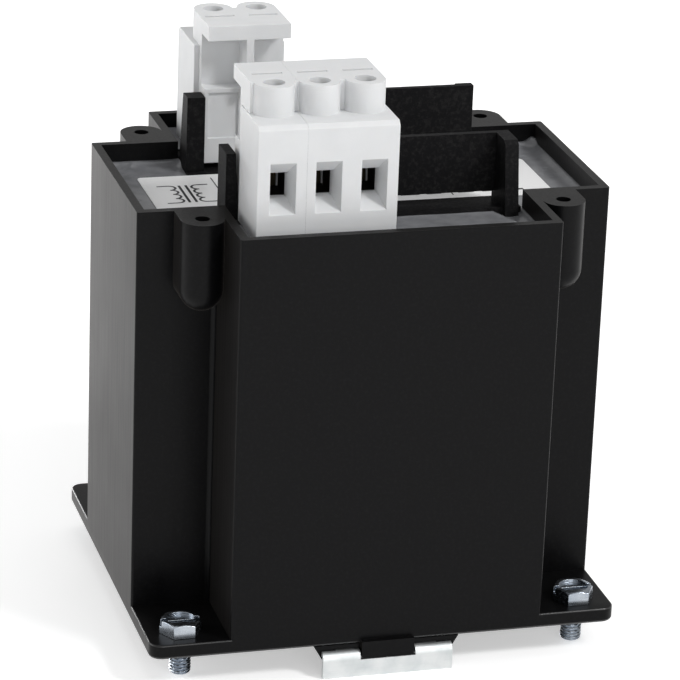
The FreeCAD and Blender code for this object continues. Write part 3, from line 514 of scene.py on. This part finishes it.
# Rating label: white polyester film stuck on the resin, with plain rules, unlettered bars and the
# common symbol for a transformer in dark ink. The film is smooth with a soft gloss.
LABEL_WHITE = "f7f7f7"
INK = "232427"
INK_OVER_MM = 0.02
MOTTLE_MM = 3.333
LABEL_CORNER_MM = 1.2
LABEL_CORNER_STEPS = 7
FIRST_RULE_MM = 17.0
SECOND_RULE_MM = 45.0
LAST_RULE_MM = 24.0
RULE_INSET_MM = 2.5
LEVEL_RULES_MM = (9.0, 16.5)
UPRIGHT_RULE_WIDE_MM = 0.3
LEVEL_RULE_WIDE_MM = 0.2
SYMBOL_FROM_LEFT_MM = 9.2
SYMBOL_ENDS_MM = (7.0, 19.0)
SYMBOL_CORE_MM = 0.8
SYMBOL_CORE_WIDE_MM = 0.6
SYMBOL_LINE_MM = 0.55
TURN_OUT_MM = 3.4
TURN_TAIL_MM = 6.0
TURN_RADIUS_MM = 1.5
TURN_COUNT = 4
TURN_STEPS = 13
BAR_ROWS_MM = (4.2, 6.6, 11.4, 14.0, 18.9, 21.4)
BAR_INSETS_MM = ((2.0, 1.5), (2.0, 2.0), (1.5, 3.5))  # each column's room before and after its bars
BAR_WIDE_MM = 1.0
BAR_LONG_MM = (1.6, 5.0)
BAR_GAP_MM = (1.0, 3.5)
BAR_ROOM_MM = 4.0
BAR_SEED = 3


def printed_film(name, colour, roughness):
    """Smooth printed film: even colour with a faint mottle in its gloss."""
    material, tree, shader = finish_of(name, colour, roughness)
    place = add_node(tree, "ShaderNodeTexCoord").outputs["Object"]
    mottle = add_node(tree, "ShaderNodeTexNoise", None,
                      [("Vector", place), ("Scale", 1 / (MOTTLE_MM * MM)), ("Detail", 2.0)])
    gloss = add_node(tree, "ShaderNodeMapRange", None,
                     [("Value", mottle.outputs["Fac"]),
                      ("To Min", roughness - 0.05), ("To Max", roughness + 0.05)])
    tree.links.new(gloss.outputs["Result"], shader.inputs["Roughness"])
    return material


def ribbon(path, wide, z, points, faces):
    """A flat band of one width along a path of points: each point is moved half the width to both sides."""
    path = np.asarray(path, float)
    ahead = np.gradient(path, axis=0)
    ahead /= np.linalg.norm(ahead, axis=1)[:, None]
    side = np.column_stack([-ahead[:, 1], ahead[:, 0]]) * wide / 2
    first = len(points)
    for flat in (path + side, path - side):
        points.extend(np.column_stack([flat, np.full(len(flat), z)]))
    n = len(path)
    faces.extend((first + n + i, first + n + i + 1, first + i + 1, first + i) for i in range(n - 1))


def label_print(name, z, box):
    """Rules, bars and the transformer symbol, all as ribbons just above the film."""
    points = []
    faces = []
    left, right, near, far = box
    first_rule = left + FIRST_RULE_MM
    second_rule = left + SECOND_RULE_MM
    last_rule = right - LAST_RULE_MM
    for x in (first_rule, second_rule, last_rule):
        ends = [(x, near + RULE_INSET_MM), (x, far - RULE_INSET_MM)]
        ribbon(ends, UPRIGHT_RULE_WIDE_MM, z, points, faces)
    for up in LEVEL_RULES_MM:
        ribbon([(first_rule, near + up), (last_rule, near + up)], LEVEL_RULE_WIDE_MM, z, points, faces)
    arc = np.linspace(-math.pi / 2, math.pi / 2, TURN_STEPS)
    middle = left + SYMBOL_FROM_LEFT_MM
    foot, head = (near + up for up in SYMBOL_ENDS_MM)
    for side in (-1, 1):
        turn_x = middle + side * TURN_OUT_MM
        for step in range(TURN_COUNT):
            turn_y = foot + TURN_RADIUS_MM * (2 * step + 1)
            bow_x = turn_x - side * TURN_RADIUS_MM * np.cos(arc)
            bow_y = turn_y + TURN_RADIUS_MM * np.sin(arc)
            ribbon(np.column_stack([bow_x, bow_y])[::side], SYMBOL_LINE_MM, z, points, faces)
        core_x = middle + side * SYMBOL_CORE_MM
        ribbon([(core_x, foot), (core_x, head)], SYMBOL_CORE_WIDE_MM, z, points, faces)
        for y in (foot, head):
            tail = [(turn_x, y), (middle + side * TURN_TAIL_MM, y)]
            ribbon(tail[::side], SYMBOL_LINE_MM, z, points, faces)
    dice = np.random.default_rng(BAR_SEED)
    edges = (first_rule, second_rule, last_rule, right)
    for start, stop, (before, after) in zip(edges, edges[1:], BAR_INSETS_MM):
        end = stop - after
        for up in BAR_ROWS_MM:
            x = start + before
            while x < end - BAR_ROOM_MM:
                long = dice.uniform(*BAR_LONG_MM)
                ribbon([(x, near + up), (min(x + long, end), near + up)], BAR_WIDE_MM, z, points, faces)
                x += long + dice.uniform(*BAR_GAP_MM)
    ink = printed_film("dark ink", INK, roughness=0.4)
    piece_from(name, points, faces, ink, "transformer")


def film_sheet(name, low, high, material):
    """The label's film: a closed sheet whose outline is a rectangle with a quarter circle in each corner."""
    quarter = np.linspace(0, math.pi / 2, LABEL_CORNER_STEPS)
    left, front = low[:2] + LABEL_CORNER_MM
    right, back = high[:2] - LABEL_CORNER_MM
    centres = np.array([(right, back), (left, back), (left, front), (right, front)])
    turn = np.concatenate([quarter + step * math.pi / 2 for step in range(4)])
    middle = np.repeat(centres, LABEL_CORNER_STEPS, axis=0)
    edge = middle + LABEL_CORNER_MM * np.column_stack([np.cos(turn), np.sin(turn)])
    count = len(edge)
    points = [np.column_stack([edge, np.full(count, z)]) for z in (low[2], high[2])]
    faces = tube_faces(2, count)
    piece = piece_from(name, np.concatenate(points), faces, material, "transformer")
    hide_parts("rating_label")


label_low, label_high = (np.array(corner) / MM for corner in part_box("rating_label"))
label_white = printed_film("white polyester label", LABEL_WHITE, roughness=0.32)
film_sheet("label_film", label_low, label_high, label_white)
label_box = (label_low[0], label_high[0], label_low[1], label_high[1])
label_print("label_print", label_high[2] + INK_OVER_MM, label_box)


# Terminal carriers: brackets with posts, a wall and a fin, moulded in the former's black polyamide.
# They stand on the former's upper cheek, half sunk in the resin, and hold the terminals.
# A flat black strip runs from each ledge to the label: painted shade on the resin under the carrier's wall.
CARRIER_EDGE_MM = 0.25
SHADE_STRIP_SUNK_MM = 0.4
SHADE_STRIP_OUT_MM = 0.45
SHADE_STRIP_FROM_LABEL_MM = 0.2


def block_between(name, low, high, material):
    """A closed box from its lowest and its highest corner."""
    low = np.asarray(low, float)
    high = np.asarray(high, float)
    bits = np.array([[(i >> 2) & 1, (i >> 1) & 1, i & 1] for i in range(8)])
    faces = [(0, 1, 3, 2), (4, 6, 7, 5), (0, 4, 5, 1), (2, 3, 7, 6), (0, 2, 6, 4), (1, 5, 7, 3)]
    piece_from(name, low + bits * (high - low), faces, material, "transformer")


def lay_shade_strip(name, side, label_edge):
    """A flat black strip between a ledge and the label, just above the resin: painted shade under the
    carrier's wall.
    """
    left, _, right = LEDGE_X_MM
    front, back = sorted([side * LEDGE_Y_MM[0], label_edge + side * SHADE_STRIP_FROM_LABEL_MM])
    low = (left, front, RESIN_TOP_MM - SHADE_STRIP_SUNK_MM)
    high = (right, back, RESIN_TOP_MM + SHADE_STRIP_OUT_MM)
    block_between(name, low, high, carrier_black)


softened("front_carrier", "front_carrier_body", CARRIER_EDGE_MM, carrier_black)
softened("back_carrier", "back_carrier_body", CARRIER_EDGE_MM, carrier_black)
lay_shade_strip("front_carrier_shade_strip", -1, label_low[1])
lay_shade_strip("back_carrier_shade_strip", 1, label_high[1])


# Terminal blocks: a single and a double block in front and a double block behind, moulded in
# light grey polyamide, with wire mouths in their faces and driver bores in their towers.
# The surface is satin, and thin edges let a little light through.
TERMINAL_EDGE_MM = 0.3
TERMINAL_GREY = "e4e5e6"
TERMINAL_SHADE = "dbdcdd"
UNEVEN_MM = 5.556
SPARK_GRAIN_DEEP_MM = 0.06
GLOW_DEEP_MM = (1.2, 1.0, 0.8)
SEAM_SHADE = "4a4b4d"
SEAM_WIDE_MM = 0.3
SEAM_THICK_MM = 0.1
SEAM_DEEP_MM = 0.03
SEAM_FOOT_MM = 0.4
SEAM_TOP_MM = 118.0


def grey_polyamide():
    """Light grey polyamide: satin, with a fine spark-eroded grain and a faint unevenness.
    The grain is drawn as coarse as it needs to show."""
    material, tree, shader = finish_of("light grey polyamide", TERMINAL_GREY, roughness=0.42, specular=0.4)
    shader.inputs["Subsurface Weight"].default_value = 0.08
    shader.inputs["Subsurface Radius"].default_value = [deep * MM for deep in GLOW_DEEP_MM]
    shader.inputs["Subsurface Scale"].default_value = 1.0
    place = add_node(tree, "ShaderNodeTexCoord").outputs["Object"]
    uneven = add_node(tree, "ShaderNodeTexNoise", None,
                      [("Vector", place), ("Scale", 1 / (UNEVEN_MM * MM)), ("Detail", 3.0)])
    shade = colour_between(tree, uneven.outputs["Fac"], TERMINAL_SHADE, TERMINAL_GREY)
    tree.links.new(shade, shader.inputs["Base Color"])
    fine = add_node(tree, "ShaderNodeTexNoise", None,
                    [("Vector", place), ("Scale", 1 / (GRAIN_MM * MM)), ("Detail", 2.0)])
    bump = add_node(tree, "ShaderNodeBump", None,
                    [("Strength", 0.12), ("Distance", SPARK_GRAIN_DEEP_MM * MM),
                     ("Height", fine.outputs["Fac"])])
    tree.links.new(bump.outputs["Normal"], shader.inputs["Normal"])
    return material


def joint_shadow(name):
    """The hair-wide gap where two blocks meet: a thin upright strip in the groove of their rounded edges."""
    low, high = (np.array(corner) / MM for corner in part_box("front_terminal_single"))
    front = low[1] + SEAM_DEEP_MM
    shade = printed_film("shade in the joint", SEAM_SHADE, roughness=0.6)
    strip_low = (high[0] - SEAM_WIDE_MM / 2, front, low[2] + SEAM_FOOT_MM)
    strip_high = (high[0] + SEAM_WIDE_MM / 2, front + SEAM_THICK_MM, SEAM_TOP_MM)
    block_between(name, strip_low, strip_high, shade)


terminal_grey = grey_polyamide()
for block in ("front_terminal_single", "front_terminal_double", "back_terminal_double"):
    softened(block, block + "_body", TERMINAL_EDGE_MM, terminal_grey)
joint_shadow("terminal_joint")


# Clamps: rising cages and screws of zinc-plated steel in the blocks, and tinned brass bars that
# lead down through the carriers to the copper ends of the coils. Their colours are painted dark,
# as painted shade, for they sit deep in the wire mouths and carriers.
STAIN_MM = 2.0
CLAMP_GREY_IN_SHADE = "2b2826"
CLAMP_STAIN_IN_SHADE = "191716"
BRASS_IN_SHADE = "3b3529"
BRASS_STAIN_IN_SHADE = "27231c"


def plated(name, colour, stain, roughness):
    """A small part barrel-plated or drawn bare: metal, dulled unevenly by handling and air."""
    material, tree, shader = finish_of(name, colour, roughness, metallic=1.0)
    place = add_node(tree, "ShaderNodeTexCoord").outputs["Object"]
    patch = add_node(tree, "ShaderNodeTexNoise", None,
                     [("Vector", place), ("Scale", 1 / (STAIN_MM * MM)), ("Detail", 4.0)])
    tree.links.new(colour_between(tree, patch.outputs["Fac"], stain, colour), shader.inputs["Base Color"])
    dull = add_node(tree, "ShaderNodeMapRange", None,
                    [("Value", patch.outputs["Fac"]),
                     ("To Min", roughness - 0.1), ("To Max", roughness + 0.12)])
    tree.links.new(dull.outputs["Result"], shader.inputs["Roughness"])
    return material


shaded_clamp_steel = plated("clamp steel painted dark as shade", CLAMP_GREY_IN_SHADE, CLAMP_STAIN_IN_SHADE, roughness=0.55)
shaded_tinned_brass = plated("tinned brass", BRASS_IN_SHADE, BRASS_STAIN_IN_SHADE, roughness=0.5)
bare_copper = plated("bare copper wire", COPPER, COPPER_SHADE_AND_STAIN, roughness=0.35)
dress(["front_clamp_cages", "back_clamp_cages", "front_clamp_screws", "back_clamp_screws"], shaded_clamp_steel)
dress(["front_contact_bars", "back_contact_bars"], shaded_tinned_brass)
dress(["front_lead_wires", "back_lead_wires"], bare_copper)


# Mounting screws: four M5 hexagon screws with slotted, dished heads, zinc plated with a bluish
# passivation. Each passes through a clearance hole in the base plate with a plain, thinner neck, and its
# rolled threads stand out below the plate.
SCREW_PLACE_MM = (46.9, 40.4)
SCREW_EDGE_MM = 0.15
HEAD_FOOT_MM = 3.6
HEADS_ABOVE_MM = HEAD_FOOT_MM - 0.01
SHANK_IN_HEAD_MM = 0.4
THREAD_RADIUS_MM = 2.5
THREAD_PITCH_MM = 0.8
THREAD_DEEP_MM = 0.49
THREAD_TIP_MM = 0.5
THREAD_STEEP = 1.3
THREAD_CREST = 0.15
THREAD_RINGS = 112
THREAD_SIDES = 40
THREAD_SMOOTH_ANGLE = math.radians(50)
NECK_RADIUS_MM = 2.24
NECK_FROM_MM = -0.3
SCREW_ZINC = "b4bac1"
SCREW_FILM = "929ba7"
SCREW_STREAK_MM = 0.5
ZINC_PATCH_MM = 4.545
ZINC_STREAK_SQUEEZE = 0.06
ZINC_STREAK_DEEP_MM = 0.04


def zinc_plate(name, colour, film_colour, streak_mm, roughness, streaks):
    """Bright zinc with a passivated film: mirror-like metal with soft patches of the film's colour.
    Fine rolling streaks along X waver its gloss."""
    material, tree, shader = finish_of(name, colour, roughness, metallic=1.0)
    place = add_node(tree, "ShaderNodeTexCoord").outputs["Object"]
    patch = add_node(tree, "ShaderNodeTexNoise", None,
                     [("Vector", place), ("Scale", 1 / (ZINC_PATCH_MM * MM)), ("Detail", 3.0)])
    film = add_node(tree, "ShaderNodeMapRange", None,
                    [("Value", patch.outputs["Fac"]), ("From Min", 0.4), ("From Max", 0.75)])
    filmed = colour_between(tree, film.outputs["Result"], colour, film_colour)
    tree.links.new(filmed, shader.inputs["Base Color"])
    drawn = add_node(tree, "ShaderNodeMapping", None,
                     [("Vector", place), ("Scale", (ZINC_STREAK_SQUEEZE, 1.0, 1.0))])
    line = add_node(tree, "ShaderNodeTexNoise", None,
                    [("Vector", drawn.outputs["Vector"]), ("Scale", 1 / (streak_mm * MM)), ("Detail", 2.0)])
    dull = add_node(tree, "ShaderNodeMapRange", None,
                    [("Value", line.outputs["Fac"]), ("From Min", 0.3), ("From Max", 0.7),
                     ("To Min", roughness - 0.07), ("To Max", roughness + 0.1)])
    tree.links.new(dull.outputs["Result"], shader.inputs["Roughness"])
    bump = add_node(tree, "ShaderNodeBump", None,
                    [("Strength", streaks), ("Distance", ZINC_STREAK_DEEP_MM * MM),
                     ("Height", line.outputs["Fac"])])
    tree.links.new(bump.outputs["Normal"], shader.inputs["Normal"])
    return material


def rolled_threads(name, material):
    """Four closed threaded shanks.
    The radius is a function of turn and height: a flattened triangle wave of height less turn, cut by the
    tip's chamfer, and one plain radius in the neck inside the base plate."""
    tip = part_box("mounting_screws")[0].z / MM
    heights = np.linspace(tip, HEAD_FOOT_MM + SHANK_IN_HEAD_MM, THREAD_RINGS)
    turns = np.linspace(0, 2 * math.pi, THREAD_SIDES, endpoint=False)
    z, turn = np.meshgrid(heights, turns, indexing="ij")
    phase = (z / THREAD_PITCH_MM - turn / (2 * math.pi)) % 1.0
    wave = np.clip(THREAD_STEEP * np.abs(2 * phase - 1) - THREAD_CREST, 0, 1)
    radius = THREAD_RADIUS_MM - THREAD_DEEP_MM * wave
    radius = np.minimum(radius, THREAD_RADIUS_MM - THREAD_TIP_MM + (z - tip))
    radius = np.where(z > NECK_FROM_MM, NECK_RADIUS_MM, radius)
    points = []
    faces = []
    for number, (side_x, side_y) in enumerate(CORNERS):
        first = number * THREAD_RINGS * THREAD_SIDES
        x = side_x * SCREW_PLACE_MM[0] + radius * np.cos(turn)
        y = side_y * SCREW_PLACE_MM[1] + radius * np.sin(turn)
        points.append(np.column_stack([x.ravel(), y.ravel(), z.ravel()]))
        faces.extend([first + i for i in face] for face in tube_faces(THREAD_RINGS, THREAD_SIDES))
    piece = piece_from(name, np.concatenate(points), faces, material, "transformer")
    piece.data.shade_smooth()
    piece.data.set_sharp_from_angle(angle=THREAD_SMOOTH_ANGLE)


screw_zinc = zinc_plate("blue passivated zinc", SCREW_ZINC, SCREW_FILM, SCREW_STREAK_MM,
                        roughness=0.24, streaks=0.05)
softened("mounting_screws", "screw_heads", SCREW_EDGE_MM, screw_zinc, above_mm=HEADS_ABOVE_MM)
rolled_threads("screw_threads", screw_zinc)


# Rail latch: a plate of 1.2 mm sheet steel under the base, bent down to a lip with a window for the
# driver, bright zinc plated. It slides out against a small steel spring to let go of the rail.
# The spring is wound of round wire. It is built at one length, while the real one shortens as the latch comes
# out.
LATCH_EDGE_MM = 0.12
SHEET_ZINC = "d8dada"
SHEET_FILM = "c2c7c8"
SHEET_STREAK_MM = 0.25
SPRING_WIRE_MM = 0.2
SPRING_PITCH_MM = 1.6
SPRING_STEPS = 20
SPRING_SIDES = 10
SPRING_STEEL = "8a8a8c"
SPRING_STAIN = "5e5e60"


def coil_spring(name, material):
    """A round wire along a helix about Y: each ring of the tube stands square to the helix, and both ends
    are capped."""
    low, high = (np.array(corner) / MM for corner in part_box("latch_spring"))
    middle = (low + high) / 2
    radius = (high[0] - low[0]) / 2 - SPRING_WIRE_MM
    long = high[1] - low[1] - 2 * SPRING_WIRE_MM
    count = round(long / SPRING_PITCH_MM * SPRING_STEPS)
    part = np.linspace(0, 1, count)
    turn = 2 * math.pi * long / SPRING_PITCH_MM * part
    outward = np.column_stack([np.cos(turn), np.zeros(count), np.sin(turn)])
    start = np.array([middle[0], low[1] + SPRING_WIRE_MM, middle[2]])
    path = start + radius * outward + np.outer(long * part, (0, 1, 0))
    ahead = np.gradient(path, axis=0)
    ahead /= np.linalg.norm(ahead, axis=1)[:, None]
    sideways = np.cross(ahead, outward)
    around = np.linspace(0, 2 * math.pi, SPRING_SIDES, endpoint=False)[None, :, None]
    ring = np.cos(around) * outward[:, None, :] + np.sin(around) * sideways[:, None, :]
    points = (path[:, None, :] + SPRING_WIRE_MM * ring).reshape(-1, 3)
    faces = [face[::-1] for face in tube_faces(count, SPRING_SIDES)]
    piece = piece_from(name, points, faces, material, "transformer")
    piece.data.shade_smooth()
    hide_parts("latch_spring")
    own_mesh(piece)


latch_zinc = zinc_plate("bright zinc plated sheet", SHEET_ZINC, SHEET_FILM, SHEET_STREAK_MM,
                        roughness=0.43, streaks=0.12)
softened("rail_latch", "latch_plate", LATCH_EDGE_MM, latch_zinc, body="latch")
coil_spring("latch_spring_coil", plated("spring steel wire", SPRING_STEEL, SPRING_STAIN, roughness=0.3))


# Studio: a pale floor under the latch, a key lamp, four soft panels and a white surrounding.
# Floor and surrounding show white to the camera and in gloss, up to a dimmer ceiling, and the floor
# keeps the shadow. Its glow grows with the distance from the part.
FLOOR_WHITE = "f2f2f2"
FLOOR_HALF_M = 3.0
FLOOR_GLOW = 0.45
FAR_GLOW = 0.8
GLOW_GROWS_M = (0.3, 1.2)
CEILING = 0.4
CEILING_FADES = (0.1, 0.35)  # the sines of the heights between which white fades to the ceiling
SURROUND = 0.36
LAMP_AIM_M = (0, 0, 0.05)
LAMPS = [  # name, place in metres, width and height in metres, watts
    ("key lamp", (0.85, -0.85, 1.25), (0.35, 0.35), 13.0),
    ("front panel", (0.1, -1.7, 0.6), (1.0, 0.7), 6.0),
    ("left panel", (-1.3, 0.35, 0.6), (0.7, 0.7), 5.5),
    ("low panel", (-0.42, 1.4, 0.14), (0.6, 0.26), 7.0),
    ("top panel", (0.1, 0.3, 1.5), (1.0, 1.0), 3.0),
]


def seen_or_mirrored(tree):
    """One where a ray comes from the camera, a gloss or a clear material, and nought elsewhere."""
    rays = add_node(tree, "ShaderNodeLightPath")
    mirror = add_node(tree, "ShaderNodeMath", {"operation": "MAXIMUM"},
                      [(0, rays.outputs["Is Glossy Ray"]), (1, rays.outputs["Is Transmission Ray"])])
    both = add_node(tree, "ShaderNodeMath", {"operation": "MAXIMUM"},
                    [(0, rays.outputs["Is Camera Ray"]), (1, mirror.outputs["Value"])])
    return both.outputs["Value"]


def lay_floor():
    """A square of matt white floor at the latch's lowest point, which glows only where it is seen."""
    material, tree, shader = finish_of("matt white floor", FLOOR_WHITE, roughness=0.8, specular=0.0)
    place = add_node(tree, "ShaderNodeTexCoord").outputs["Object"]
    away = add_node(tree, "ShaderNodeVectorMath", {"operation": "LENGTH"}, [(0, place)])
    near, far = GLOW_GROWS_M
    level_glow = add_node(tree, "ShaderNodeMapRange", None,
                          [("Value", away.outputs["Value"]), ("From Min", near), ("From Max", far),
                           ("To Min", FLOOR_GLOW), ("To Max", FAR_GLOW)])
    glow = add_node(tree, "ShaderNodeMath", {"operation": "MULTIPLY"},
                    [(0, seen_or_mirrored(tree)), (1, level_glow.outputs["Result"])])
    shader.inputs["Emission Color"].default_value = (1, 1, 1, 1)
    tree.links.new(glow.outputs["Value"], shader.inputs["Emission Strength"])
    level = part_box("rail_latch")[0].z
    mesh = bpy.data.meshes.new("floor")
    mesh.from_pydata([(x * FLOOR_HALF_M, y * FLOOR_HALF_M, level) for x, y in CORNERS], [], [(0, 1, 2, 3)])
    mesh.materials.append(material)
    floor = bpy.data.objects.new("floor", mesh)
    bpy.context.collection.objects.link(floor)


def soft_lamp(name, place, size, power):
    """A rectangular lamp turned to the part's foot."""
    light = bpy.data.lights.new(name, "AREA")
    light.shape = "RECTANGLE"
    light.size, light.size_y = size
    light.energy = power
    item = bpy.data.objects.new(name, light)
    item.location = place
    item.rotation_euler = (Vector(LAMP_AIM_M) - Vector(place)).to_track_quat("-Z", "Y").to_euler()
    bpy.context.collection.objects.link(item)


def surround():
    """A white world: dim as a light, and white where it is seen, fading to the ceiling higher up."""
    world = bpy.data.worlds.new("studio")
    bpy.context.scene.world = world
    world.use_nodes = True
    tree = world.node_tree
    background = tree.nodes["Background"]
    ray = add_node(tree, "ShaderNodeTexCoord").outputs["Generated"]
    height = add_node(tree, "ShaderNodeSeparateXYZ", None, [("Vector", ray)]).outputs["Z"]
    low, high = CEILING_FADES
    upper = add_node(tree, "ShaderNodeMapRange", None,
                     [("Value", height), ("From Min", low), ("From Max", high),
                      ("To Min", 1.0), ("To Max", CEILING)])
    shown = add_node(tree, "ShaderNodeMapRange", None,
                     [("Value", seen_or_mirrored(tree)),
                      ("To Min", SURROUND), ("To Max", upper.outputs["Result"])])
    background.inputs["Color"].default_value = (1, 1, 1, 1)
    tree.links.new(shown.outputs["Result"], background.inputs["Strength"])


lay_floor()
for lamp in LAMPS:
    soft_lamp(*lamp)
surround()


# Camera: where the photograph was taken from, in degrees and millimetres, turned a little
# about its own axis as the photograph is.
CAMERA_AZIMUTH = -15.93
CAMERA_ELEVATION = 20.86
CAMERA_ROLL = 2.15
CAMERA_DISTANCE_MM = 847.0
CAMERA_AIM_MM = (-0.3, 0.1, 56.0)
CAMERA_LENS_MM = 190.7
CAMERA_FRAME_MM = 36.0
CAMERA_FAR_M = 50.0


def set_camera():
    """Stands the camera at its distance from the aim and turns it by its roll."""
    azimuth = math.radians(CAMERA_AZIMUTH)
    elevation = math.radians(CAMERA_ELEVATION)
    roll = math.radians(CAMERA_ROLL)
    level = math.cos(elevation)
    back = Vector((math.sin(azimuth) * level, -math.cos(azimuth) * level, math.sin(elevation)))
    right = (-back).cross(Vector((0, 0, 1))).normalized()
    up = back.cross(right)
    right_rolled = right * math.cos(roll) + up * math.sin(roll)
    up_rolled = up * math.cos(roll) - right * math.sin(roll)
    camera = bpy.data.objects.new("camera", bpy.data.cameras.new("camera"))
    bpy.context.collection.objects.link(camera)
    camera.data.lens = CAMERA_LENS_MM
    camera.data.sensor_width = CAMERA_FRAME_MM
    camera.data.clip_end = CAMERA_FAR_M
    place = (Vector(CAMERA_AIM_MM) + back * CAMERA_DISTANCE_MM) * MM
    turn = Matrix((right_rolled, up_rolled, back)).transposed().to_4x4()
    camera.matrix_world = Matrix.Translation(place) @ turn
    bpy.context.scene.camera = camera


set_camera()
bpy.context.scene.view_settings.view_transform = "Standard"
